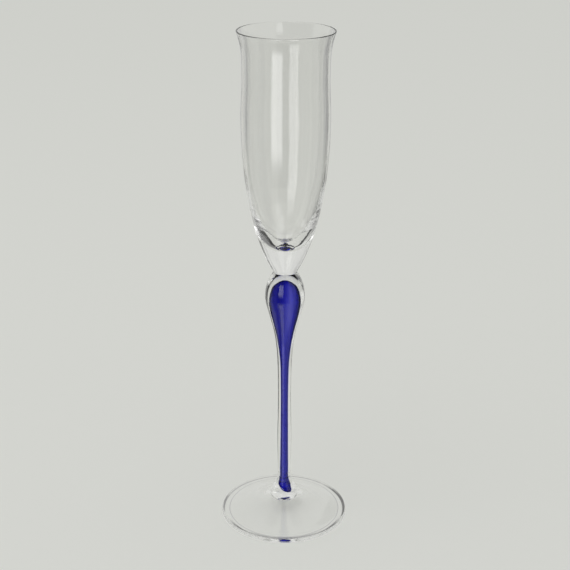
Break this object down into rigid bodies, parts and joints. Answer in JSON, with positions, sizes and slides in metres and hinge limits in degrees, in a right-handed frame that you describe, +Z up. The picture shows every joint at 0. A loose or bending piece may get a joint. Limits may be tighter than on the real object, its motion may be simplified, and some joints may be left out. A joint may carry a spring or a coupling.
{
  "type": "champagne flute",
  "caption": "Tall champagne flute: clear blown bowl with a flared rim, clear stem that seals in a cobalt-blue teardrop drawn down into a thread, and a clear round foot.",
  "frame": {"origin": "centre of the ring that the foot stands on, on the glass's axis, at the level of the table", "axes": "+Z up along the glass's axis, towards the rim; +X is the side towards which the low end of the blue thread hangs lower; otherwise X and Y are alike, because every piece is round about Z"},
  "size_m": [0.074, 0.074, 0.287],
  "materials": {
    "clear_glass": "clear fire-polished soda-lime glass, smooth, with faint draw marks",
    "cobalt_glass": "deep cobalt-blue glass sealed in clear glass"
  },
  "bodies": {
    "root": {"bowl": "clear_glass", "stem": "clear_glass", "core": "cobalt_glass", "heart": "clear_glass", "foot": "clear_glass"}
  },
  "joints": []
}
